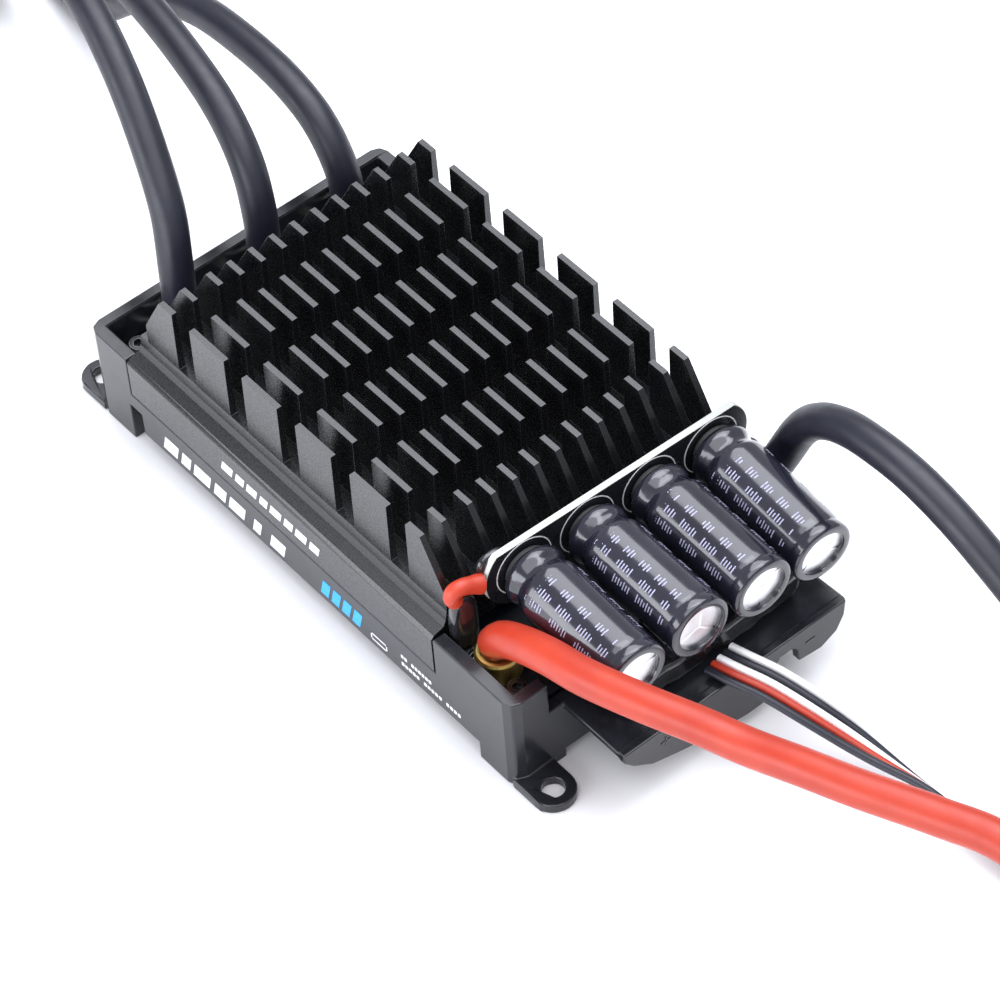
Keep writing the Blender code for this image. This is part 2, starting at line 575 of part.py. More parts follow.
def make_bank_board():
    """An upright board with round ends, cut straight along its top."""
    last_can = cap_places()[-1]
    top_angle = math.asin((BANK_BOARD_TOP - CAP_Z) / BANK_BOARD_END_R)
    turns = np.linspace(-math.pi / 2, top_angle, 16)
    end = [(last_can + BANK_BOARD_END_R * math.cos(a), CAP_Z + BANK_BOARD_END_R * math.sin(a)) for a in turns]
    points = end + [(-y, z) for y, z in reversed(end)]
    board = outline("capacitor_board", points, BANK_BOARD_T, "circuit_board_black")
    board.matrix_world = STAND_ALONG_X
    bpy.context.view_layer.update()
    board = as_mesh_object(board, "circuit_board_black")
    holes = []
    for y in cap_places():
        for side in (-1, 1):
            spot = y + side * LEAD_SPACING / 2
            holes.append(rod("lead_hole", LEAD_HOLE_R, (-3, spot, CAP_Z), (3, spot, CAP_Z), sides=12))
    board = combine_all(board, holes, "DIFFERENCE")
    board.matrix_world = bank_matrix(0, 0, 0) @ board.matrix_world


def make_capacitors():
    """Sleeved cans with a rolled crimp near the board and a recessed vent in front."""
    front = BANK_BOARD_T / 2
    can_start = front + CAP_STANDOFF
    r = CAP_R
    profile = [(0.0, CAP_LEN - 0.7), (0.72 * r, CAP_LEN - 0.7), (0.76 * r, CAP_LEN),
               (0.90 * r, CAP_LEN), (r, CAP_LEN - 0.5), (r, 4.0), (0.88 * r, 3.1), (0.88 * r, 2.5),
               (0.97 * r, 1.4), (0.93 * r, 0.5), (0.78 * r, 0.0), (0.0, 0.0)]
    for number, (y, aim) in enumerate(zip(cap_places(), CAP_AIMS), 1):
        can = turned(f"capacitor_{number}", profile, "capacitor_sleeve", steps=32)
        shade_round(can)
        can.matrix_world = bank_matrix(can_start, y, CAP_Z, tilt_to_x=True, aim=aim)
        bung = rod(f"capacitor_bung_{number}", BUNG_R, (0, 0, front + GAP), (0, 0, can_start - GAP),
                   "rubber_bung", sides=24)
        bung = as_mesh_object(bung, "rubber_bung")
        leads = [rod("lead", LEAD_R, (0, s * LEAD_SPACING / 2, -front - 1.0),
                     (0, s * LEAD_SPACING / 2, front + 0.8), sides=8) for s in (-1, 1)]
        bung = combine_all(bung, leads, "UNION")
        bung.matrix_world = bank_matrix(0, y, CAP_Z, tilt_to_x=True) @ bung.matrix_world


def make_compound():
    """Cured compound: a bead between the tray and the capacitors, and a mound by the red link."""
    bead = box("sealing_bead", (46.0, -16.4, TRAY_Z1 + GAP), (56.2, 20.6, 18.1), "sealing_compound")
    bevel(bead, 2.0, 3)
    mound = box("sealing_mound", (29.9, -26.3, BOARD_Z1 + GAP), (32.4, -21.4, 24.3), "sealing_compound")
    bevel(mound, 0.9, 3)


# ---------------------------------------------------------------- leads

def make_tip(name, path):
    """A tinned strand end in line with the last stretch of its wire."""
    last = Vector(path[-1])
    along = (last - Vector(path[-2])).normalized()
    start = last + along * GAP
    rod(name, TIP_R, start, start + along * TIP_LEN, "tinned_copper", sides=16)


def make_power_wires():
    for name, route in MOTOR_ROUTES.items():
        path, _ = smooth_path(route, 2.4 * POWER_D)
        tube(name, path, POWER_D, "silicone_black")
        make_tip(name + "_tip", path)
    for name, route in BATTERY_ROUTES.items():
        path, _ = smooth_path(route, 1.3 * POWER_D)
        look = "silicone_red" if name.endswith("red") else "silicone_black"
        tube(name, path, POWER_D, look)
        make_tip(name + "_tip", path)
    for name, route in LINK_ROUTES.items():
        path, _ = smooth_path(route, 0.8 * LINK_D)
        look = "silicone_red" if name.endswith("red") else "silicone_black"
        tube(name, path, LINK_D, look, 2)


def ribbon_paths():
    """Five parallel wires: the flat ribbon rolls on edge for a stretch, then lies flat."""
    centre, _ = smooth_path(SIGNAL_ROUTE, 2.6 * SIGNAL_D)
    along = np.concatenate(([0.0], np.cumsum(np.linalg.norm(np.diff(centre, axis=0), axis=1))))
    tangents = np.gradient(centre, axis=0)
    paths = [[] for _ in SIGNAL_NAMES]
    for place, tangent, distance in zip(centre, tangents, along):
        tangent = tangent / np.linalg.norm(tangent)
        side = np.cross((0.0, 0.0, 1.0), tangent)
        side /= np.linalg.norm(side)
        up = np.cross(tangent, side)
        twist = math.radians(TWIST_PEAK) * math.exp(-((distance - TWIST_AT) / TWIST_SPREAD) ** 2)
        across = side * math.cos(twist) - up * math.sin(twist)
        for index, path in enumerate(paths):
            path.append(place + across * (index - 2) * SIGNAL_PITCH)
    return paths


def make_signal_wires():
    paths = ribbon_paths()
    for name, path in zip(SIGNAL_NAMES, paths):
        look = "silicone_" + name.split("_")[2]
        tube(name, path, SIGNAL_D, look, 2)
    length, width, height = PLUG
    for name, group in (("signal_plug_a", paths[0:3]), ("signal_plug_b", paths[3:5])):
        ends = np.array([path[-1] for path in group])
        back = np.array([path[-2] for path in group])
        along = Vector((ends - back).mean(axis=0)).normalized()
        along.z = 0.0
        place = Vector(ends.mean(axis=0))
        if name.endswith("b"):
            place += Vector((-along.y, along.x, 0.0)) * 1.9
        else:
            place -= Vector((-along.y, along.x, 0.0)) * 2.4
        plug = box(name, (0.0, -width / 2, 0.0), (length, width / 2, height), "connector_plastic")
        plug = as_mesh_object(plug, "connector_plastic")
        plug.location = Vector((place.x, place.y, 0.1)) * MM + along * (GAP + length / 2 + 0.5) * MM
        plug.location.z = (0.1 + height / 2) * MM
        plug.rotation_euler.z = math.atan2(along.y, along.x)
        bevel(plug, 0.35, 1)


clear_scene()
PARTS = new_collection("electronic_speed_controller")
CUTTERS = new_collection("cutters")

make_case()
make_heatsink()
make_thermal_pad()
make_power_board()
make_screws()
make_chips()
make_terminals()
make_bank_board()
make_capacitors()
make_compound()
make_power_wires()
make_signal_wires()
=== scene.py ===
"""The visual model of an electronic speed controller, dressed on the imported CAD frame.

Everything is in the frame's own axes: X towards the battery end, Y across, Z up.
Lengths in the tables are millimetres; MM turns them into metres.
"""

import json
import math

import bmesh
import bpy
import numpy as np
from mathutils import Matrix, Vector


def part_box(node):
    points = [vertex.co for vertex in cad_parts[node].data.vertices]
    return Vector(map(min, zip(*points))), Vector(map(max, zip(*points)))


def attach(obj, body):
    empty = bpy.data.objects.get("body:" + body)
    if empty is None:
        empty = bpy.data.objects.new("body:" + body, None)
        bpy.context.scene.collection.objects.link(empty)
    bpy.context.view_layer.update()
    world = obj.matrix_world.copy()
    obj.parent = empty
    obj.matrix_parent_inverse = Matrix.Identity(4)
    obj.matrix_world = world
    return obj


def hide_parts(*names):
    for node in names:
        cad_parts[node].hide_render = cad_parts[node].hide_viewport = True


MM = 0.001
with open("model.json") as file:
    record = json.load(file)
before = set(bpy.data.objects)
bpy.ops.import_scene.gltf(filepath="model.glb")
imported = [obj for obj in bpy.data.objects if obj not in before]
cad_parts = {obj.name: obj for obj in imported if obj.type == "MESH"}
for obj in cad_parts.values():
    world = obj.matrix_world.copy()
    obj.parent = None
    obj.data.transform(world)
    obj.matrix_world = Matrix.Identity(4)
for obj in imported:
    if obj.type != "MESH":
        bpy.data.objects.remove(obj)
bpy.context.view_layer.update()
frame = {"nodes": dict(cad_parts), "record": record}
NODES = frame["nodes"]

# ---------------------------------------------------------------- camera
CAMERA_PLACE = (0.36428, -0.25927, 0.52032)
CAMERA_BACK = (0.52608015, -0.38480194, 0.75839775)
CAMERA_AZIMUTH, CAMERA_ROLL = 53.816, -4.851
CAMERA_LENS, SENSOR_WIDTH = 162.33, 36.0
CLIP_START, CLIP_END = 0.01, 10.0


def add_camera():
    """The camera at its solved place, with a roll about its own axis."""
    back = Vector(CAMERA_BACK).normalized()
    azimuth, roll = math.radians(CAMERA_AZIMUTH), math.radians(CAMERA_ROLL)
    level = Vector((math.cos(azimuth), math.sin(azimuth), 0.0))
    rise = back.cross(level)
    right = math.cos(roll) * level + math.sin(roll) * rise
    up = -math.sin(roll) * level + math.cos(roll) * rise
    data = bpy.data.cameras.new("camera")
    data.lens = CAMERA_LENS
    data.sensor_width = SENSOR_WIDTH
    data.clip_start = CLIP_START
    data.clip_end = CLIP_END
    camera = bpy.data.objects.new("camera", data)
    camera.matrix_world = Matrix((
        (right.x, up.x, back.x, CAMERA_PLACE[0]),
        (right.y, up.y, back.y, CAMERA_PLACE[1]),
        (right.z, up.z, back.z, CAMERA_PLACE[2]),
        (0.0, 0.0, 0.0, 1.0)))
    bpy.context.scene.collection.objects.link(camera)
    bpy.context.scene.camera = camera


# ---------------------------------------------------------------- materials

class Shade:
    """A small helper that builds one node material."""

    def __init__(self, name, roughness, metallic=0.0):
        self.material = bpy.data.materials.new(name)
        self.material.use_nodes = True
        self.tree = self.material.node_tree
        self.shader = self.tree.nodes["Principled BSDF"]
        self.shader.inputs["Roughness"].default_value = roughness
        self.shader.inputs["Metallic"].default_value = metallic
        self.coords = self.add("ShaderNodeTexCoord").outputs["Object"]
        self.height = None

    def add(self, kind, **values):
        node = self.tree.nodes.new(kind)
        for key, value in values.items():
            setattr(node, key, value)
        return node

    def link(self, a, b):
        self.tree.links.new(a, b)

    def noise(self, scale, detail=4.0, rough=0.55, stretch=(1.0, 1.0, 1.0)):
        """Noise with features about 1/scale metres apart."""
        mapping = self.add("ShaderNodeMapping")
        mapping.inputs["Scale"].default_value = stretch
        self.link(self.coords, mapping.inputs["Vector"])
        node = self.add("ShaderNodeTexNoise")
        node.inputs["Scale"].default_value = scale
        node.inputs["Detail"].default_value = detail
        node.inputs["Roughness"].default_value = rough
        self.link(mapping.outputs["Vector"], node.inputs["Vector"])
        return node.outputs["Fac"]

    def ramp(self, value, low, high, out_low, out_high):
        node = self.add("ShaderNodeMapRange")
        for key, number in (("From Min", low), ("From Max", high), ("To Min", out_low), ("To Max", out_high)):
            node.inputs[key].default_value = number
        self.link(value, node.inputs["Value"])
        return node.outputs["Result"]

    def mix(self, factor, dark, light):
        node = self.add("ShaderNodeMix", data_type="RGBA")
        self.link(factor, node.inputs["Factor"])
        for value, socket in ((dark, node.inputs["A"]), (light, node.inputs["B"])):
            if isinstance(value, tuple):
                socket.default_value = (*value, 1.0)
            else:
                self.link(value, socket)
        return node.outputs["Result"]

    def colour(self, value):
        self.link(value, self.shader.inputs["Base Color"])

    def roughness(self, value, low, high):
        self.link(self.ramp(value, 0.3, 0.7, low, high), self.shader.inputs["Roughness"])

    def bump(self, value, distance):
        """Adds to any bump there already; the distance is millimetres."""
        node = self.add("ShaderNodeBump")
        node.inputs["Distance"].default_value = distance * MM
        node.inputs["Strength"].default_value = 1.0
        self.link(value, node.inputs["Height"])
        if self.height:
            self.link(self.height, node.inputs["Normal"])
        self.height = node.outputs["Normal"]
        self.link(self.height, self.shader.inputs["Normal"])

    def edge_mask(self, radius):
        """Near 1 on edges sharper than the radius, and 0 on flat stretches."""
        soft = self.add("ShaderNodeBevel", samples=4)
        soft.inputs["Radius"].default_value = radius * MM
        true = self.add("ShaderNodeNewGeometry")
        dot = self.add("ShaderNodeVectorMath", operation="DOT_PRODUCT")
        self.link(soft.outputs["Normal"], dot.inputs[0])
        self.link(true.outputs["Normal"], dot.inputs[1])
        return self.ramp(dot.outputs["Value"], 0.995, 0.90, 0.0, 1.0)


WEAR_RADIUS = 0.35


def plastic(name, dark, light, rough, grain, grain_depth, wear=None):
    """Moulded plastic with a fine grain; wear is the paler tone of its scuffed edges."""
    shade = Shade(name, rough[0])
    patches = shade.ramp(shade.noise(60, 5), 0.35, 0.68, 0.0, 1.0)
    tone = shade.mix(patches, dark, light)
    if wear:
        scuffs = shade.ramp(shade.noise(420, 6, 0.7), 0.40, 0.62, 0.25, 1.0)
        edge = shade.add("ShaderNodeMath", operation="MULTIPLY")
        shade.link(shade.edge_mask(WEAR_RADIUS), edge.inputs[0])
        shade.link(scuffs, edge.inputs[1])
        tone = shade.mix(edge.outputs[0], tone, wear)
    shade.colour(tone)
    shade.roughness(shade.noise(240, 5), *rough)
    shade.bump(shade.noise(grain, 3, 0.6), grain_depth)
    return shade


def metal(name, dark, light, rough, line_scale=900, depth=0.004, wear=None):
    """Bare or plated metal with a faint grain; wear is the tone of its edges."""
    shade = Shade(name, rough[0], 1.0)
    patches = shade.ramp(shade.noise(90, 5), 0.35, 0.65, 0.0, 1.0)
    tone = shade.mix(patches, dark, light)
    if wear:
        tone = shade.mix(shade.edge_mask(0.3), tone, wear)
    shade.colour(tone)
    brushed = shade.noise(line_scale, 4, 0.6)
    shade.roughness(brushed, *rough)
    shade.bump(brushed, depth)
    return shade


def anodised(name):
    """Extruded, black anodised aluminium: dull, with fine lines along X."""
    shade = Shade(name, 0.5)
    patches = shade.ramp(shade.noise(70, 5, 0.6, (0.25, 1.0, 1.0)), 0.35, 0.65, 0.0, 1.0)
    tone = shade.mix(patches, (0.0035, 0.0037, 0.0042), (0.0065, 0.0068, 0.0076))
    tone = shade.mix(shade.edge_mask(0.12), tone, (0.034, 0.035, 0.038))
    shade.colour(tone)
    lines = shade.noise(2600, 3, 0.5, (0.02, 1.0, 1.0))
    shade.roughness(shade.noise(3000, 3, 0.6), 0.20, 0.33)
    shade.shader.inputs["Specular IOR Level"].default_value = 0.72
    shade.bump(lines, 0.0030)
    shade.bump(shade.noise(3400, 3, 0.6), 0.0045)
    return shade


def silicone(name, dark, light, sheen=0.10):
    """Soft, slightly dusty rubber."""
    shade = Shade(name, 0.42)
    patches = shade.ramp(shade.noise(110, 5), 0.35, 0.65, 0.0, 1.0)
    shade.colour(shade.mix(patches, dark, light))
    shade.roughness(shade.noise(380, 5, 0.65), 0.36, 0.50)
    shade.bump(shade.noise(700, 4, 0.6), 0.010)
    shade.shader.inputs["Sheen Weight"].default_value = sheen
    shade.shader.inputs["Sheen Roughness"].default_value = 0.4
    return shade


def glossy(name, dark, light, rough, coat, ripple, scale):
    """A dark surface under a clear coat, such as shrink sleeve or cured resin."""
    shade = Shade(name, rough[0])
    patches = shade.ramp(shade.noise(120, 4), 0.35, 0.65, 0.0, 1.0)
    shade.colour(shade.mix(patches, dark, light))
    shade.roughness(shade.noise(500, 5, 0.65), *rough)
    shade.bump(shade.noise(scale, 4, 0.6), ripple)
    shade.shader.inputs["Coat Weight"].default_value = coat
    shade.shader.inputs["Coat Roughness"].default_value = 0.10
    return shade


def print_ink(name, colour, faded):
    """Flat ink that has worn thin in places."""
    shade = Shade(name, 0.55)
    worn = shade.ramp(shade.noise(2200, 5, 0.7), 0.30, 0.48, 0.0, 1.0)
    shade.colour(shade.mix(worn, faded, colour))
    shade.roughness(shade.noise(1500, 3), 0.45, 0.65)
    return shade


def make_materials():
    """The record's material slots, and five looks for small trim."""
    looks = {
        "case_plastic": plastic("case_plastic", (0.0110, 0.0116, 0.0136), (0.0150, 0.0160, 0.0205),
                                (0.15, 0.27), 2600, 0.005, (0.070, 0.071, 0.078)),
        "anodised_aluminium": anodised("anodised_aluminium"),
        "thermal_pad_blue": plastic("thermal_pad_blue", (0.02, 0.10, 0.50), (0.04, 0.16, 0.62),
                                    (0.70, 0.86), 1800, 0.03),
        "circuit_board_black": glossy("circuit_board_black", (0.008, 0.009, 0.011), (0.014, 0.015, 0.018),
                                      (0.24, 0.36), 0.25, 0.010, 900),
        "chip_epoxy": plastic("chip_epoxy", (0.014, 0.014, 0.015), (0.022, 0.022, 0.024), (0.5, 0.66),
                              3500, 0.012),
        "capacitor_sleeve": glossy("capacitor_sleeve", (0.0095, 0.0100, 0.0170), (0.0150, 0.0155, 0.0260),
                                   (0.15, 0.24), 0.75, 0.014, 320),
        "rubber_bung": plastic("rubber_bung", (0.02, 0.02, 0.02), (0.035, 0.035, 0.036), (0.6, 0.75),
                               1500, 0.02),
        "steel_black_oxide": metal("steel_black_oxide", (0.055, 0.055, 0.060), (0.10, 0.10, 0.105),
                                   (0.28, 0.44), wear=(0.30, 0.30, 0.31)),
        "gold_plate": metal("gold_plate", (0.90, 0.62, 0.16), (1.0, 0.80, 0.30), (0.32, 0.46),
                            line_scale=700),
        "tinned_copper": metal("tinned_copper", (0.58, 0.57, 0.55), (0.76, 0.75, 0.72), (0.24, 0.40),
                               line_scale=1100, depth=0.008),
        "silicone_black": silicone("silicone_black", (0.0060, 0.0068, 0.0140), (0.0096, 0.0106, 0.0200),
                                   0.02),
        "silicone_red": silicone("silicone_red", (0.38, 0.026, 0.0085), (0.45, 0.037, 0.012), 0.02),
        "silicone_white": silicone("silicone_white", (0.80, 0.80, 0.80), (0.88, 0.88, 0.88)),
        "sealing_compound": glossy("sealing_compound", (0.008, 0.008, 0.009), (0.014, 0.014, 0.016),
                                   (0.08, 0.20), 0.6, 0.05, 180),
        "connector_plastic": plastic("connector_plastic", (0.014, 0.014, 0.015), (0.024, 0.024, 0.026),
                                     (0.38, 0.52), 2400, 0.012, (0.09, 0.09, 0.095)),
    }
    extra = {
        "vent": metal("vent", (0.86, 0.86, 0.87), (0.95, 0.95, 0.96), (0.34, 0.48), line_scale=800,
                      depth=0.003),
        "ink_white": print_ink("ink_white", (0.82, 0.82, 0.83), (0.42, 0.42, 0.44)),
        "ink_blue": print_ink("ink_blue", (0.03, 0.36, 0.80), (0.02, 0.17, 0.40)),
        "ink_lilac": print_ink("ink_lilac", (0.40, 0.40, 0.54), (0.16, 0.16, 0.24)),
        "board_edge": plastic("board_edge", (0.40, 0.41, 0.38), (0.58, 0.59, 0.55), (0.55, 0.75), 3200,
                              0.02),
    }
    return {key: shade.material for key, shade in {**looks, **extra}.items()}


# ---------------------------------------------------------------- object helpers

def add_piece(name, data, look, replaces=()):
    """Link a new piece, give it its look and let it ride on the one body."""
    data.materials.append(LOOKS[look])
    obj = bpy.data.objects.new(name, data)
    bpy.context.scene.collection.objects.link(obj)
    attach(obj, "root")
    if replaces:
        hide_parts(*replaces)
    return obj


def mesh_data(name, points, faces, smooth=None):
    """A mesh from points in millimetres; smooth is the angle below which edges look round."""
    mesh = bpy.data.meshes.new(name)
    mesh.from_pydata([tuple(c * MM for c in p) for p in points], [], faces)
    bm = bmesh.new()
    bm.from_mesh(mesh)
    bmesh.ops.remove_doubles(bm, verts=bm.verts, dist=1e-7)
    bmesh.ops.recalc_face_normals(bm, faces=bm.faces)
    bm.to_mesh(mesh)
    bm.free()
    if smooth:
        mesh.shade_smooth()
        mesh.set_sharp_from_angle(angle=math.radians(smooth))
    return mesh


def grid_faces(rows, columns):
    """Quads between rows of points, each row closed on itself."""
    faces = []
    for i in range(rows - 1):
        for j in range(columns):
            k = (j + 1) % columns
            faces.append((i * columns + j, i * columns + k, (i + 1) * columns + k, (i + 1) * columns + j))
    return faces


def bar_points(low, high):
    (x0, y0, z0), (x1, y1, z1) = low, high
    return [(x0, y0, z0), (x1, y0, z0), (x1, y1, z0), (x0, y1, z0),
            (x0, y0, z1), (x1, y0, z1), (x1, y1, z1), (x0, y1, z1)]


BAR_FACES = [(0, 3, 2, 1), (4, 5, 6, 7), (0, 1, 5, 4), (1, 2, 6, 5), (2, 3, 7, 6), (3, 0, 4, 7)]


class Solid:
    """Collects closed shapes into one mesh."""

    def __init__(self):
        self.points, self.faces = [], []

    def add(self, points, faces):
        start = len(self.points)
        self.points += [tuple(p) for p in points]
        self.faces += [tuple(i + start for i in face) for face in faces]

    def bar(self, low, high, matrix=None):
        points = bar_points(low, high)
        if matrix:
            points = [tuple(matrix @ Vector(p)) for p in points]
        self.add(points, BAR_FACES)

    def slanted(self, x0, x1, z0, z1, slant, y0, y1):
        """A leaning stroke on a wall that faces -Y."""
        points = [(x + slant * (z - z0), y, z) for z in (z0, z1)
                  for x, y in ((x0, y0), (x1, y0), (x1, y1), (x0, y1))]
        self.add(points, BAR_FACES)

    def piece(self, name, look, smooth=None, replaces=()):
        return add_piece(name, mesh_data(name, self.points, self.faces, smooth), look, replaces)


EDGE_SEGMENTS, EDGE_ANGLE = 2, 32.0
WELD_DISTANCE = 1e-5


def soften(obj, width):
    """Round the edges of a CAD node by modifiers; the mesh itself is left as it is."""
    weld = obj.modifiers.new("join", "WELD")
    weld.merge_threshold = WELD_DISTANCE
    edge = obj.modifiers.new("edges", "BEVEL")
    edge.width = width * MM
    edge.segments = EDGE_SEGMENTS
    edge.limit_method = "ANGLE"
    edge.angle_limit = math.radians(EDGE_ANGLE)
    edge.use_clamp_overlap = False
    edge.harden_normals = True


EDGES = {"case_body": 0.28, "heatsink": 0.06, "power_board": 0.10, "control_board": 0.10,
         "board_header": 0.15, "negative_terminal": 0.12, "capacitor_board": 0.08, "thermal_pad": 0.15}


def dress_cad():
    """Every CAD node takes its slot's material, and the moulded ones their rounded edges."""
    for row in frame["record"]["subparts"]:
        obj = NODES[row["node"]]
        obj.data.materials.clear()
        obj.data.materials.append(LOOKS[row["material_slot"]])
        if row["node"] in EDGES:
            soften(obj, EDGES[row["node"]])


# ---------------------------------------------------------------- leads

POWER_D, LINK_D, SIGNAL_D, SIGNAL_PITCH = 5.5, 2.6, 1.3, 1.36
POWER_SPACING, LINK_SPACING, SIGNAL_SPACING = 1.4, 0.35, 1.0     # between the points of a path
LINK_SWELL, SWELL_REACH = 0.22, 1.3
GAP = 0.3
KNOT_STEPS = 16
POWER_ROUTES = {
    "motor_wire_a": [(-46.8, -15.9, 13.4), (-46.6, -15.9, 20.0), (-47.4, -15.2, 27.5),
                     (-50.6, -13.2, 34.6), (-58.0, -10.4, 41.4), (-68.3, -7.2, 48.0),
                     (-80.3, -4.3, 52.2), (-93.5, -2.5, 51.5), (-106.0, -1.5, 44.0),
                     (-116.5, -0.8, 32.4), (-125.5, 0.0, 19.4), (-134.0, 0.8, 9.4),
                     (-143.2, 1.5, 3.6), (-150.5, 2.0, 2.9), (-158.5, 2.6, 2.9)],
    "motor_wire_b": [(-46.8, 0.5, 13.4), (-46.6, 0.5, 20.5), (-47.3, 0.9, 27.5),
                     (-51.0, 2.2, 34.2), (-58.6, 3.9, 39.0), (-71.2, 5.8, 42.0),
                     (-84.7, 7.6, 42.8), (-98.0, 9.2, 41.5), (-110.5, 10.6, 35.6),
                     (-121.0, 11.8, 25.8), (-130.0, 12.8, 14.8), (-138.5, 13.6, 6.6),
                     (-148.0, 14.2, 3.1), (-156.0, 14.7, 2.9), (-165.5, 15.2, 2.9)],
    "motor_wire_c": [(-46.8, 17.3, 13.8), (-46.8, 17.3, 18.8), (-48.6, 17.5, 25.4),
                     (-53.8, 17.9, 30.9), (-62.0, 18.3, 33.5), (-73.8, 18.7, 33.6),
                     (-85.2, 19.0, 31.8), (-97.5, 19.2, 26.4), (-107.5, 19.8, 18.6),
                     (-116.5, 20.6, 10.4), (-126.0, 21.8, 4.8), (-137.0, 23.4, 2.9),
                     (-149.0, 25.2, 2.9), (-158.5, 26.3, 2.9), (-168.0, 27.1, 2.9)],
    "battery_wire_red": [(35.8, -21.9, 17.6), (37.4, -22.0, 19.9), (40.0, -22.1, 22.1),
                         (43.3, -22.0, 23.9), (48.6, -22.0, 26.3), (56.2, -21.8, 28.6),
                         (65.6, -19.6, 30.0), (74.5, -16.6, 30.6), (81.6, -14.3, 30.8),
                         (89.7, -12.1, 32.4), (98.6, -9.4, 33.6), (109.6, -5.1, 34.4),
                         (118.0, -2.0, 34.6), (128.0, -0.2, 32.0), (139.0, -0.8, 25.6),
                         (149.0, -4.4, 16.8), (157.5, -10.6, 8.6), (165.0, -18.4, 3.8),
                         (169.4, -25.0, 2.9), (172.2, -31.5, 2.9)],
    "battery_wire_black": [(38.5, 19.8, 15.9), (38.6, 23.1, 16.3), (38.8, 25.8, 17.4),
                           (39.1, 28.1, 19.1), (39.6, 29.8, 21.4), (40.4, 30.9, 24.1),
                           (41.6, 31.3, 27.0),
                           (43.6, 31.6, 30.4), (47.4, 31.5, 34.2), (52.4, 31.3, 36.9),
                           (58.4, 31.0, 38.4), (66.0, 30.9, 38.6), (74.6, 31.0, 36.6),
                           (84.2, 31.2, 32.4), (95.0, 31.8, 26.0), (105.6, 32.8, 18.6),
                           (115.8, 34.0, 11.0), (126.0, 35.2, 5.2), (136.6, 36.2, 2.9),
                           (149.0, 36.8, 2.9), (158.0, 36.8, 2.9), (168.0, 36.5, 2.9)],
}
LINK_ROUTES = {
    "link_wire_red": [(31.9, -20.75, 26.5), (31.6, -22.2, 27.1), (31.35, -23.7, 27.6),
                      (31.1, -24.9, 27.4), (31.0, -25.4, 26.4), (31.0, -24.9, 25.2)],
    "link_wire_black": [(35.05, 27.35, 21.9), (35.0, 27.3, 20.2), (34.7, 26.8, 18.2),
                        (34.3, 25.7, 16.2), (34.1, 24.2, 14.6)],
}
SIGNAL_ROUTE = [(57.0, 1.9, 13.6), (60.2, 2.5, 14.0), (65.2, 4.6, 13.1), (71.0, 7.0, 10.9),
                (76.8, 9.5, 8.0), (83.6, 11.7, 5.2), (90.6, 13.0, 4.0), (98.6, 14.0, 3.4),
                (107.0, 15.2, 2.2), (116.0, 17.4, 1.1), (126.0, 20.2, 0.9), (137.5, 22.6, 0.9),
                (149.5, 23.6, 0.9), (158.2, 21.4, 0.9), (163.2, 14.8, 0.9), (163.6, 6.6, 0.9),
                (159.0, -0.8, 0.9), (151.0, -4.0, 0.9), (141.0, -4.8, 0.9), (132.0, -3.4, 0.9),
                (127.0, 2.2, 0.9), (129.2, 8.4, 0.9), (135.0, 10.4, 0.9), (141.0, 10.3, 0.9)]
TWIST_PEAK, TWIST_AT, TWIST_SPREAD = 60.0, 38.0, 13.0     # degrees, and millimetres along the route
SIGNAL_NAMES = ("signal_wire_black_a", "signal_wire_red", "signal_wire_white_a",
                "signal_wire_black_b", "signal_wire_white_b")


def smooth_path(points, spacing):
    """Evenly spaced points along a centripetal curve through the given ones."""
    knots = [np.array(p, float) for p in points]
    knots = [2 * knots[0] - knots[1]] + knots + [2 * knots[-1] - knots[-2]]
    dense = []
    for a, b, c, d in zip(knots, knots[1:], knots[2:], knots[3:]):
        t1 = math.sqrt(np.linalg.norm(b - a))
        t2 = t1 + math.sqrt(np.linalg.norm(c - b))
        t3 = t2 + math.sqrt(np.linalg.norm(d - c))
        for t in np.linspace(t1, t2, KNOT_STEPS, endpoint=False):
            ab = a + (b - a) * t / t1
            bc = b + (c - b) * (t - t1) / (t2 - t1)
            cd = c + (d - c) * (t - t2) / (t3 - t2)
            abc = ab + (bc - ab) * t / t2
            bcd = bc + (cd - bc) * (t - t1) / (t3 - t1)
            dense.append(abc + (bcd - abc) * (t - t1) / (t2 - t1))
    dense.append(knots[-2])
    dense = np.array(dense)
    along = np.concatenate(([0.0], np.cumsum(np.linalg.norm(np.diff(dense, axis=0), axis=1))))
    count = max(4, round(along[-1] / spacing) + 1)
    places = np.linspace(0.0, along[-1], count)
    return np.array([np.interp(places, along, dense[:, k]) for k in range(3)]).T


def tube_curve(name, paths, diameter, resolution=5, radii=None):
    """One curve object data, with an open spline for each path."""
    curve = bpy.data.curves.new(name, "CURVE")
    curve.dimensions = "3D"
    curve.bevel_depth = diameter * MM / 2
    curve.bevel_resolution = resolution
    curve.use_fill_caps = True
    for path in paths:
        spline = curve.splines.new("POLY")
        spline.points.add(len(path) - 1)
        for index, (point, (x, y, z)) in enumerate(zip(spline.points, path)):
            point.co = (x * MM, y * MM, z * MM, 1.0)
            if radii:
                point.radius = radii[min(index, len(radii) - 1)]
        spline.use_smooth = True
    return curve


STRAND_RINGS = ((1, 0.0), (6, 0.78), (12, 1.50))     # strands in a ring, and the ring radius
STRAND_D, STRAND_TWIST, STRAND_TAPER, STRAND_STEPS = 0.84, 0.9, 0.06, 9
TIP_LEN = 7.0


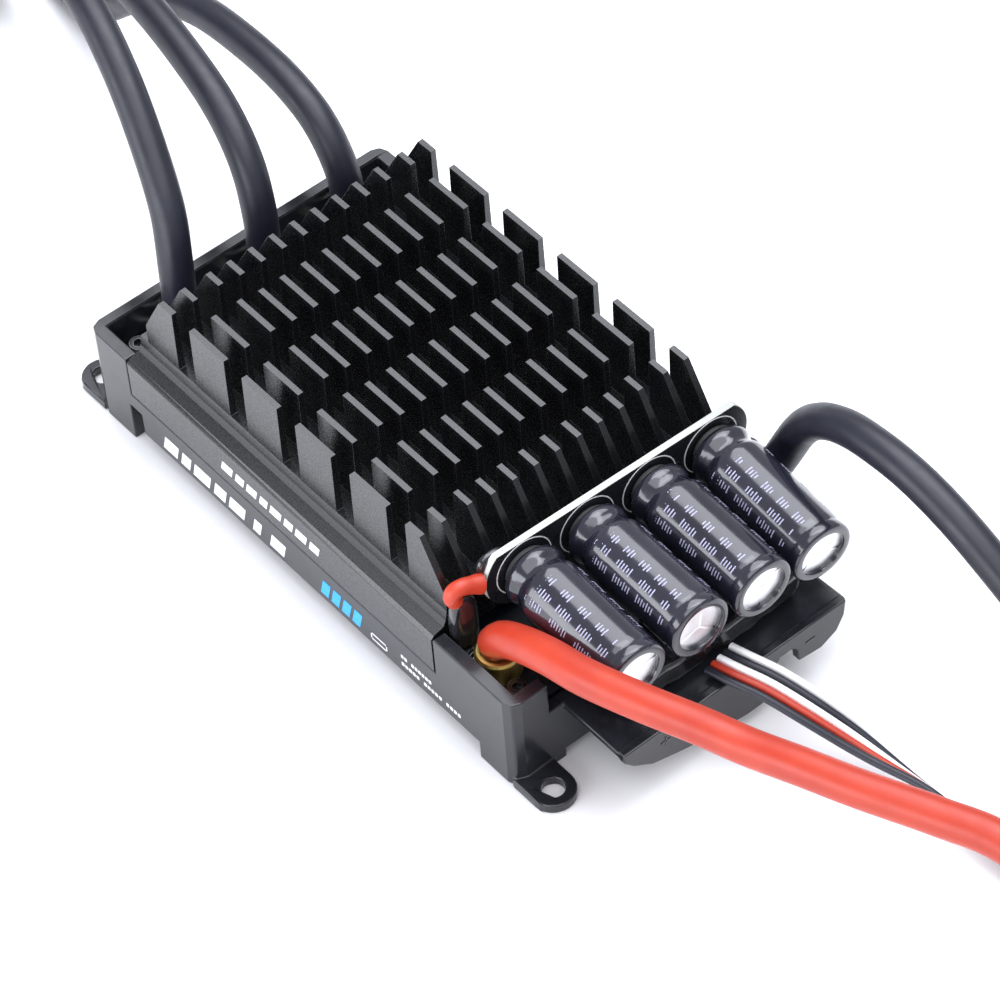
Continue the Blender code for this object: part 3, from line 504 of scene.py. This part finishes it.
def add_strand_end(node, path):
    """The bared end of a power wire: nineteen tinned strands with a slight twist."""
    last = Vector(path[-1])
    along = (last - Vector(path[-2])).normalized()
    side = along.cross(Vector((0, 0, 1))).normalized()
    up = side.cross(along)
    strands = []
    for count, radius in STRAND_RINGS:
        for k in range(count):
            strand = []
            for step in np.linspace(0.0, 1.0, STRAND_STEPS):
                turn = 2 * math.pi * k / count + STRAND_TWIST * step
                spread = radius * (1.0 - STRAND_TAPER * step)
                offset = side * math.cos(turn) * spread + up * math.sin(turn) * spread
                strand.append(last + along * (GAP + step * TIP_LEN) + offset)
            strands.append(strand)
    curve = tube_curve(node + "_strands", strands, STRAND_D, 2)
    return add_piece(node + "_strands", curve, "tinned_copper", (node,))


def add_power_wires():
    """The five thick wires, each a cord with its bared end."""
    for name, route in POWER_ROUTES.items():
        path = smooth_path(route, POWER_SPACING)
        look = "silicone_red" if name.endswith("red") else "silicone_black"
        wire = add_piece(name + "_lead", tube_curve(name, [path], POWER_D, 8), look, (name,))
        tip = add_strand_end(name + "_tip", path)


def add_links():
    """The two short jumpers of the capacitor board; each swells a little where it was soldered."""
    for name, route in LINK_ROUTES.items():
        path = smooth_path(route, LINK_SPACING)
        look = "silicone_red" if name.endswith("red") else "silicone_black"
        swell = [1.0 + LINK_SWELL * math.exp(-((k * LINK_SPACING) / SWELL_REACH) ** 2)
                 for k in range(len(path))]
        add_piece(name + "_lead", tube_curve(name, [path], LINK_D, 6, swell), look, (name,))


def ribbon_paths(spacing):
    """Five parallel wires: the flat ribbon rolls on edge for a stretch, then lies flat."""
    centre = smooth_path(SIGNAL_ROUTE, spacing)
    along = np.concatenate(([0.0], np.cumsum(np.linalg.norm(np.diff(centre, axis=0), axis=1))))
    tangents = np.gradient(centre, axis=0)
    paths = [[] for _ in SIGNAL_NAMES]
    for place, tangent, distance in zip(centre, tangents, along):
        tangent = tangent / np.linalg.norm(tangent)
        side = np.cross((0.0, 0.0, 1.0), tangent)
        side /= np.linalg.norm(side)
        up = np.cross(tangent, side)
        twist = math.radians(TWIST_PEAK) * math.exp(-((distance - TWIST_AT) / TWIST_SPREAD) ** 2)
        across = side * math.cos(twist) - up * math.sin(twist)
        for index, path in enumerate(paths):
            path.append(place + across * (index - 2) * SIGNAL_PITCH)
    return paths


PLUG = (14.0, 7.6, 2.6)     # length, width and height
PLUG_CAVITY, PLUG_FLOOR, PLUG_EDGE = 1.7, 0.45, 0.08


def add_plug(node, wires):
    """A small crimp housing: three cavities, side rails and windows over the contacts."""
    low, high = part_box(node)
    centre = (low + high) / 2 / MM
    ends = np.array([path[-1] for path in wires]).mean(axis=0)
    back = np.array([path[-8] for path in wires]).mean(axis=0)
    heading = math.atan2(ends[1] - back[1], ends[0] - back[0])
    place = Matrix.Translation((centre.x, centre.y, low.z / MM)) @ Matrix.Rotation(heading, 4, "Z")
    length, width, height = PLUG
    half_l, half_w = length / 2, width / 2
    wall = (width - 3 * PLUG_CAVITY) / 4
    solid = Solid()
    solid.bar((-half_l, -half_w, 0), (half_l, half_w, PLUG_FLOOR), place)
    for k in range(4):
        y = -half_w + k * (PLUG_CAVITY + wall)
        solid.bar((-half_l, y, 0.4), (half_l, y + wall, height), place)
    solid.bar((-half_l, -half_w, height - PLUG_FLOOR), (-half_l + 3.2, half_w, height), place)
    solid.bar((half_l - 4.4, -half_w, height - PLUG_FLOOR), (half_l, half_w, height), place)
    for k in range(3):
        y = -half_w + wall + k * (PLUG_CAVITY + wall)
        solid.bar((-half_l + 3.6, y + 0.5, height - 0.5),
                  (half_l - 4.8, y + PLUG_CAVITY - 0.5, height - 0.15), place)
    for side in (-1, 1):
        y0, y1 = sorted((side * half_w, side * half_w + side * 0.25))
        solid.bar((half_l - 3.0, y0, 0.6), (half_l - 1.0, y1, 1.8), place)
    body = solid.piece(node + "_housing", "connector_plastic", replaces=(node,))
    body.modifiers.new("edges", "BEVEL").width = PLUG_EDGE * MM
    contacts = Solid()
    for k in range(len(wires)):
        y = -half_w + wall + PLUG_CAVITY / 2 + k * (PLUG_CAVITY + wall)
        contacts.bar((-half_l + 2.0, y - 0.45, 0.7), (half_l - 0.8, y + 0.45, 1.5), place)
    contacts.piece(node + "_contacts", "gold_plate")
    return body


def add_signal_wires():
    """The ribbon's five wires: three end in one plug and two in the other."""
    paths = ribbon_paths(SIGNAL_SPACING)
    plugs = {"a": add_plug("signal_plug_a", paths[0:3]), "b": add_plug("signal_plug_b", paths[3:5])}
    for index, (name, path) in enumerate(zip(SIGNAL_NAMES, paths)):
        look = "silicone_" + name.split("_")[2]
        wire = add_piece(name + "_lead", tube_curve(name, [path], SIGNAL_D, 5), look, (name,))


# ---------------------------------------------------------------- capacitors

CAN_SIDES = 72
PINCH_AT, PINCH_SPREAD, PINCH_DEPTH = 2.9, 1.1, 0.07     # the neck near the rear, wrinkled
FOLD_AT, FOLD_SPREAD, FOLD_DEPTH = 1.95, 0.35, 0.02      # the roll near the front
# Each profile point is a share of the radius, and millimetres from the front or the rear.
CAN_PROFILE = [(0.72, -0.8), (0.725, -0.2), (0.745, -0.03), (0.80, 0.0), (0.90, 0.0), (0.955, -0.1),
               (0.99, -0.35), (1.0, -0.7), (1.0, -1.3), (0.985, -1.7), (0.968, -1.95), (0.975, -2.2),
               (0.99, -2.6), (0.992, -3.4)]
CAN_REAR = [(0.992, 7.0), (1.0, 5.6), (0.995, 5.0), (0.965, 4.45), (0.91, 3.95), (0.875, 3.5),
            (0.865, 3.1), (0.88, 2.7), (0.925, 2.2), (0.965, 1.75), (0.975, 1.3), (0.955, 0.8),
            (0.90, 0.35), (0.80, 0.05), (0.40, 0.0)]


def can_frame(node):
    """Rear centre, unit axes and length of a can, from its CAD mesh: w forward, v up, u across."""
    points = np.unique(np.round(np.array([v.co for v in NODES[node].data.vertices]) / MM, 4), axis=0)
    middle = points.mean(axis=0)
    w = np.linalg.svd(points - middle)[2][0]
    w = w if w[0] > 0 else -w
    along = (points - middle) @ w
    front = points[along > along.max() - 0.25].mean(axis=0)
    rear = points[along < along.min() + 0.25].mean(axis=0)
    w = Vector(front - rear).normalized()
    length = float(np.dot(points - rear, np.array(w)).max())
    radius = float(np.linalg.norm((points - rear) - np.outer((points - rear) @ np.array(w), w), axis=1).max())
    v = (Vector((0, 0, 1)) - w * w.z).normalized()
    return Vector(rear), v.cross(w), v, w, length, radius


def ring_point(axes, radius, angle, t):
    """A point at an angle from straight up, turning towards +u."""
    origin, u, v, w, _, _ = axes
    return origin + w * t + u * radius * math.sin(angle) + v * radius * math.cos(angle)


def add_can(number):
    """A shrink sleeve over one can, with its pinch, rolled ends and slight wrinkles."""
    node = f"capacitor_{number}"
    axes = can_frame(node)
    length, full = axes[4], axes[5]
    profile = [(r * full, length + t) for r, t in CAN_PROFILE]
    profile += [(0.992 * full, t) for t in np.linspace(length - 5.0, 8.6, 7)]
    profile += [(r * full, t) for r, t in CAN_REAR]
    points = []
    for r, t in profile:
        pinch = PINCH_DEPTH * math.exp(-((t - PINCH_AT) / PINCH_SPREAD) ** 2)
        fold = FOLD_DEPTH * math.exp(-((t - (length - FOLD_AT)) / FOLD_SPREAD) ** 2)
        for k in range(CAN_SIDES):
            a = 2 * math.pi * k / CAN_SIDES
            wrinkle = pinch * math.sin(9 * a + 1.7 * number) + fold * math.sin(5 * a + number)
            points.append(ring_point(axes, r + wrinkle, a, t))
    faces = grid_faces(len(profile), CAN_SIDES)
    faces.append(tuple(range(CAN_SIDES))[::-1])
    last = (len(profile) - 1) * CAN_SIDES
    faces.append(tuple(last + k for k in range(CAN_SIDES)))
    data = mesh_data(node + "_sleeve", points, faces, 50)
    add_piece(node + "_sleeve", data, "capacitor_sleeve", (node,))
    add_vent(number, axes)
    add_can_print(number, axes)


VENT_SHARE, VENT_ROWS, VENT_SIDES = 0.725, 22, 72
VENT_DEPTH, VENT_DOME, VENT_BACK = 0.62, 0.16, 1.0
SCORE_DEPTH, SCORE_WIDTH = 0.10, 0.13


def add_vent(number, axes):
    """The aluminium end: slightly domed, with three score lines that meet at its centre."""
    length, radius = axes[4], axes[5] * VENT_SHARE
    turn = 0.5 + 0.9 * number
    scores = [(math.cos(turn + a), math.sin(turn + a)) for a in (0.0, 2.1, 4.2)]
    rows, columns = VENT_ROWS, VENT_SIDES
    points = []
    for i in range(rows):
        r = radius * (0.02 + 0.98 * i / (rows - 1))
        for k in range(columns):
            a = 2 * math.pi * k / columns
            x, y = r * math.cos(a), r * math.sin(a)
            height = length - VENT_DEPTH - VENT_DOME * (r / radius) ** 2
            for sx, sy in scores:
                if x * sx + y * sy > 0:
                    height -= SCORE_DEPTH * math.exp(-((x * sy - y * sx) / SCORE_WIDTH) ** 2)
            points.append(ring_point(axes, r, a, height))
    faces = grid_faces(rows, columns)
    faces.append(tuple(range(columns)))
    under = len(points)
    points += [ring_point(axes, radius, 2 * math.pi * k / columns, length - VENT_BACK)
               for k in range(columns)]
    faces += [((rows - 1) * columns + k, (rows - 1) * columns + (k + 1) % columns,
               under + (k + 1) % columns, under + k) for k in range(columns)]
    faces.append(tuple(under + k for k in range(columns)))
    data = mesh_data(f"capacitor_vent_{number}", points, faces, 60)
    add_piece(f"capacitor_vent_{number}", data, "vent")


PRINT_SKIN = 0.02


def can_patch(solid, axes, angles, span, radius):
    """A thin curved patch on the sleeve, between two angles and two distances from the rear."""
    steps = max(2, int(abs(angles[1] - angles[0]) / 0.09) + 1)
    turns = np.linspace(angles[0], angles[1], steps)
    start = []
    for r in (radius, radius + PRINT_SKIN):
        for t in span:
            start += [ring_point(axes, r, a, t) for a in turns]
    n = steps
    faces = [(k, k + 1, n + k + 1, n + k) for k in range(n - 1)]
    faces += [(2 * n + k, 3 * n + k, 3 * n + k + 1, 2 * n + k + 1) for k in range(n - 1)]
    faces += [(k, 2 * n + k, 2 * n + k + 1, k + 1) for k in range(n - 1)]
    faces += [(n + k, n + k + 1, 3 * n + k + 1, 3 * n + k) for k in range(n - 1)]
    faces += [(0, n, 3 * n, 2 * n), (n - 1, 3 * n - 1, 4 * n - 1, 2 * n - 1)]
    solid.add(start, faces)


PRINT_ROWS = ((-0.24, 4), (-0.66, 6), (-1.10, 7), (0.95, 5))     # angle, and strokes in a group
STROKE_WIDTHS, STROKE_LONG, STROKE_STEP = (0.13, 0.09, 0.11, 0.07), 0.20, 0.55
PRINT_START, PRINT_END = 5.0, 3.2     # clear lengths at the rear and the front
STRIPE_HALF = 0.30


def add_can_print(number, axes):
    """Generic print: rows of short strokes along the can, and the pale stripe underneath."""
    length, radius = axes[4], axes[5] * 0.992 + 0.005
    ink = Solid()
    for row, (angle, strokes) in enumerate(PRINT_ROWS):
        t = PRINT_START + 0.5 * ((row + number) % 3)
        while t < length - PRINT_END:
            for k in range(strokes):
                wide = STROKE_WIDTHS[(k + row + number) % 4]
                can_patch(ink, axes, (angle - wide, angle + wide), (t, t + STROKE_LONG), radius)
                t += STROKE_STEP
                if t > length - PRINT_END:
                    break
            t += 1.3 + 0.4 * ((row + number) % 2)
    ink.piece(f"capacitor_print_{number}", "ink_lilac")
    stripe = Solid()
    under = math.radians(196 - 6 * number)
    angles = (under - STRIPE_HALF, under + STRIPE_HALF)
    can_patch(stripe, axes, angles, (7.2, length - 2.7), radius)
    can_patch(stripe, axes, angles, (length - 1.4, length - 0.75), axes[5])
    stripe.piece(f"capacitor_stripe_{number}", "ink_lilac")


# ---------------------------------------------------------------- capacitor board

BANK_TURN = -1.5
CAP_Z, CAP_PITCH, BOARD_TOP, BOARD_END_R, BOARD_T = 25.2, 11.6, 30.3, 6.9, 1.2


def bank_matrix():
    """From the board's own axes, X across its thickness, to the frame's."""
    low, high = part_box("capacitor_board")
    centre = (low + high) / 2 / MM
    return Matrix.Translation((centre.x, centre.y, 0)) @ Matrix.Rotation(math.radians(BANK_TURN), 4, "Z")


def add_board_marks():
    """The pale cut edge of the board, and the printed ring round each capacitor."""
    place = bank_matrix()
    front = BOARD_T / 2
    last = 1.5 * CAP_PITCH
    top_angle = math.asin((BOARD_TOP - CAP_Z) / BOARD_END_R)
    turns = np.linspace(-0.35, top_angle, 14)
    end = [(last + BOARD_END_R * math.cos(a), CAP_Z + BOARD_END_R * math.sin(a)) for a in turns]
    line = end + [(-y, z) for y, z in reversed(end)]
    points = []
    for index, (y, z) in enumerate(line):
        before, after = line[max(index - 1, 0)], line[min(index + 1, len(line) - 1)]
        ty, tz = after[0] - before[0], after[1] - before[1]
        norm = math.hypot(ty, tz)
        ny, nz = tz / norm, -ty / norm
        for x, out in ((-front + 0.06, 0.0), (-front + 0.12, 0.07), (front - 0.02, 0.07),
                       (front - 0.02, -0.02)):
            points.append(place @ Vector((x, y + ny * out, z + nz * out)))
    faces = grid_faces(len(line), 4)
    faces += [(3, 2, 1, 0), tuple(4 * (len(line) - 1) + k for k in range(4))]
    edge = mesh_data("board_cut_edge", points, faces, 40)
    add_piece("board_cut_edge", edge, "board_edge")
    rings = Solid()
    for k in range(4):
        y0 = (k - 1.5) * CAP_PITCH
        ring = []
        steps = 48
        for i in range(steps):
            a = 2 * math.pi * i / steps
            for x, r in ((front, 4.86), (front + 0.04, 4.88), (front + 0.04, 5.04), (front, 5.06)):
                ring.append(place @ Vector((x, y0 + r * math.cos(a), CAP_Z + r * math.sin(a))))
        faces = grid_faces(steps, 4)
        faces += [(4 * (steps - 1) + k2, 4 * (steps - 1) + (k2 + 1) % 4, (k2 + 1) % 4, k2) for k2 in range(4)]
        rings.add(ring, faces)
    rings.piece("board_printed_rings", "ink_white", smooth=40)


# ---------------------------------------------------------------- compound, solder and small trim

def blob(name, low, high, look, power=3.2, lumps=0.12, phase=0.0, rows=30, replaces=()):
    """A cured lump that fills a box softly: a squarish ball with smooth swellings."""
    low, high = Vector(low), Vector(high)
    centre, half = (low + high) / 2, (high - low) / 2
    columns = rows * 2
    points = []
    for i in range(rows + 1):
        polar = math.pi * (0.002 + 0.996 * i / rows)
        for k in range(columns):
            a = 2 * math.pi * k / columns
            d = Vector((math.sin(polar) * math.cos(a), math.sin(polar) * math.sin(a), math.cos(polar)))
            size = sum(abs(c) ** power for c in d) ** (-1.0 / power)
            p = Vector((d.x * half.x, d.y * half.y, d.z * half.z)) * size
            swell = (math.sin(0.9 * p.x + 0.62 * p.y + phase) + math.sin(1.3 * p.y - 0.5 * p.x + 2.1 * phase)
                     + 0.6 * math.sin(1.9 * p.x + 1.1 * p.z + phase))
            p *= 1.0 - lumps * (0.5 - swell / 5.2)
            points.append(p + centre)
    faces = grid_faces(rows + 1, columns)
    faces += [tuple(range(columns)), tuple(rows * columns + k for k in range(columns))]
    return add_piece(name, mesh_data(name, points, faces, 60), look, replaces)


def turned_piece(name, profile, place, look, sides=40, lumps=0.0):
    """A solid turned about its own Z from (radius, height) points, then put in place."""
    points = []
    for r, z in profile:
        for k in range(sides):
            a = 2 * math.pi * k / sides
            radius = r * (1.0 + lumps * math.sin(3 * a + z))
            points.append(place @ Vector((radius * math.cos(a), radius * math.sin(a), z)))
    faces = grid_faces(len(profile), sides)
    faces += [tuple(range(sides)), tuple((len(profile) - 1) * sides + k for k in range(sides))]
    return add_piece(name, mesh_data(name, points, faces, 50), look)


def in_mm(node):
    """The corners of a CAD node's box."""
    low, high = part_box(node)
    return low / MM, high / MM


MOUND_RISE = 1.5     # the poured mound stands this much over its CAD body, round the red link's foot


def add_compound():
    """The compound under the cans, the mound by their board and the dab on its near end."""
    low, high = in_mm("sealing_bead")
    blob("sealing_bead_poured", low, high, "sealing_compound", 5.0, 0.10, 0.4, 44,
         ("sealing_bead",))
    low, high = in_mm("sealing_mound")
    top = (high.x, high.y, high.z + MOUND_RISE)
    blob("sealing_mound_poured", low, top, "sealing_compound", 3.4, 0.08, 1.3, 24,
         ("sealing_mound",))
    low, high = in_mm("capacitor_board")
    blob("sealing_dab", (low.x - 1.5, low.y - 0.6, 23.4), (low.x + 0.6, low.y + 5.4, 30.2),
         "sealing_compound", 2.6, 0.10, 2.2, 26)


SOLDER_PROFILE = [(0.1, 2.4), (2.4, 2.4), (2.85, 2.2), (3.0, 1.5), (3.25, 0.8), (3.7, 0.3), (4.1, 0.05),
                  (0.1, 0.02)]
PRINTED_ARCS = ((4.2, 4.36, 1.9, 4.4), (4.9, 5.06, 2.2, 3.9))     # two radii and two angles each


def add_solder():
    """Solder at the feet of the motor wires and on the negative terminal, and the arcs by the other."""
    _, board_high = in_mm("power_board")
    for name in ("motor_wire_a", "motor_wire_b", "motor_wire_c"):
        x, y, _ = POWER_ROUTES[name][0]
        place = Matrix.Translation((x, y, board_high.z))
        turned_piece(name + "_solder", SOLDER_PROFILE, place, "tinned_copper", lumps=0.02)
    low, high = in_mm("negative_terminal")
    blob("negative_solder", (low.x + 0.5, low.y + 0.4, high.z - 0.6),
         (high.x - 0.5, high.y - 0.3, high.z + 1.3), "tinned_copper", 2.6, 0.08, 0.8, 20)
    low, high = in_mm("positive_terminal")
    x, y = (low.x + high.x) / 2, (low.y + high.y) / 2
    marks = Solid()
    for r0, r1, a0, a1 in PRINTED_ARCS:
        steps = 20
        ring = []
        for a in np.linspace(a0, a1, steps):
            for r, z in ((r0, 0.0), (r0, 0.04), (r1, 0.04), (r1, 0.0)):
                ring.append((x + r * math.cos(a), y + r * math.sin(a), board_high.z + z))
        faces = grid_faces(steps, 4)
        faces += [(0, 1, 2, 3), tuple(4 * (steps - 1) + k for k in range(4))]
        marks.add(ring, faces)
    marks.piece("terminal_printed_arcs", "ink_white")


# ---------------------------------------------------------------- generic print on the case

WALL_Y, INK_OUT, INK_IN = -28.8, 0.04, 0.02
CASE_BLOCKS = ((3.4, 1.0), (2.2, 0.9), (4.0, 1.1), (2.8, 0.9), (3.8, 2.2), (1.8, 2.4), (3.4, 1.0))
SKIRT_BLOCKS = ((2.6, 0.8), (2.0, 0.7), (2.4, 0.8), (1.8, 0.7), (2.6, 0.8), (2.0, 0.7), (2.6, 0.8),
                (2.2, 0.7))
FRAME_BARS = (((14.4, 4.9), (18.2, 5.15)), ((14.4, 6.15), (18.2, 6.4)),
              ((14.4, 4.9), (14.65, 6.4)), ((17.95, 4.9), (18.2, 6.4)))
RAISED_BARS = ((-12.6, 9.6, 1.8, 0.28), (-11.84, 8.84, 0.28, 1.8), (15.2, 9.2, 1.8, 0.28))


def add_block_row(name, x, blocks, z0, z1, slant):
    """A row of leaning blocks on the near side; each block is its width and the gap after it."""
    row = Solid()
    for width, gap in blocks:
        row.slanted(x, x + width, z0, z1, slant, WALL_Y - INK_OUT, WALL_Y + INK_IN)
        x += width + gap
    row.piece(name, "ink_white")


def add_case_print():
    """Plain bars and blocks where a maker would print; they spell nothing."""
    _, high = in_mm("case_body")
    y0, y1 = WALL_Y - INK_OUT, WALL_Y + INK_IN
    add_block_row("case_print_blocks", -36.4, CASE_BLOCKS, 4.9, 7.9, 0.28)
    blue = Solid()
    for k in range(4):
        blue.slanted(2.4 + 2.5 * k, 4.2 + 2.5 * k, 4.9, 8.3, 0.28, y0, y1)
    blue.piece("case_print_blue", "ink_blue")
    small = Solid()
    for (x0, z0), (x1, z1) in FRAME_BARS:
        small.bar((x0, y0, z0), (x1, y1, z1))
    for k in range(9):
        if k != 2:
            small.bar((21.6 + 0.8 * k, y0, 7.0), (22.15 + 0.8 * k, y1, 7.7))
    for k in range(16):
        if k not in (5, 11):
            small.bar((21.6 + 0.86 * k, y0, 5.3), (22.2 + 0.86 * k, y1, 6.0))
    small.piece("case_print_small", "ink_white")
    add_block_row("heatsink_print_blocks", -20.6, SKIRT_BLOCKS, 13.4, 15.4, 0.3)
    lip_x = high.x - 0.02
    raised = Solid()
    for y, z, wide, tall in RAISED_BARS:
        raised.bar((lip_x - 0.25, y, z), (lip_x + 0.12, y + wide, z + tall))
    raised.piece("tray_raised_marks", "case_plastic")


# ---------------------------------------------------------------- set

STUDIO_TINT = (0.95, 0.97, 1.04)
WORLD_STRENGTH = 0.54
FLOOR_HALF = 2500
AREA_LIGHTS = (("key", (-0.20, 0.30, 0.80), (0.0, 0.0, 0.0), (0.90, 0.70), 8.0),
               ("top", (0.20, 0.00, 0.90), (0.0, 0.0, 0.0), (1.1, 1.1), 9.5),
               ("side", (-0.05, -0.85, 0.26), (0.0, 0.0, 0.02), (1.2, 0.45), 8.5))


def add_area(name, place, aim, size, power):
    """A soft rectangular light; place, aim and size are metres."""
    data = bpy.data.lights.new(name, "AREA")
    data.shape = "RECTANGLE"
    data.size, data.size_y = size
    data.energy = power
    data.color = STUDIO_TINT
    light = bpy.data.objects.new(name, data)
    light.location = place
    light.rotation_euler = (Vector(aim) - Vector(place)).to_track_quat("-Z", "Y").to_euler()
    bpy.context.scene.collection.objects.link(light)


def add_set():
    """A plain pale floor, an even world and three soft lights."""
    half = FLOOR_HALF
    corners = [(-half, -half, 0), (half, -half, 0), (half, half, 0), (-half, half, 0)]
    floor_mesh = mesh_data("floor", corners, [(0, 1, 2, 3)])
    shade = Shade("floor_paper", 0.9)
    shade.colour(shade.mix(shade.noise(14, 3), (0.86, 0.86, 0.86), (0.89, 0.89, 0.89)))
    shade.bump(shade.noise(900, 3), 0.01)
    floor_mesh.materials.append(shade.material)
    floor = bpy.data.objects.new("floor", floor_mesh)
    bpy.context.scene.collection.objects.link(floor)
    world = bpy.data.worlds.new("studio")
    bpy.context.scene.world = world
    world.use_nodes = True
    background = world.node_tree.nodes["Background"]
    background.inputs["Color"].default_value = (*STUDIO_TINT, 1.0)
    background.inputs["Strength"].default_value = WORLD_STRENGTH
    for light in AREA_LIGHTS:
        add_area(*light)
    bpy.context.scene.view_settings.view_transform = "Standard"


LOOKS = make_materials()
add_camera()
dress_cad()
add_power_wires()
add_links()
add_signal_wires()
for can in range(1, 5):
    add_can(can)
add_board_marks()
add_compound()
add_solder()
add_case_print()
add_set()
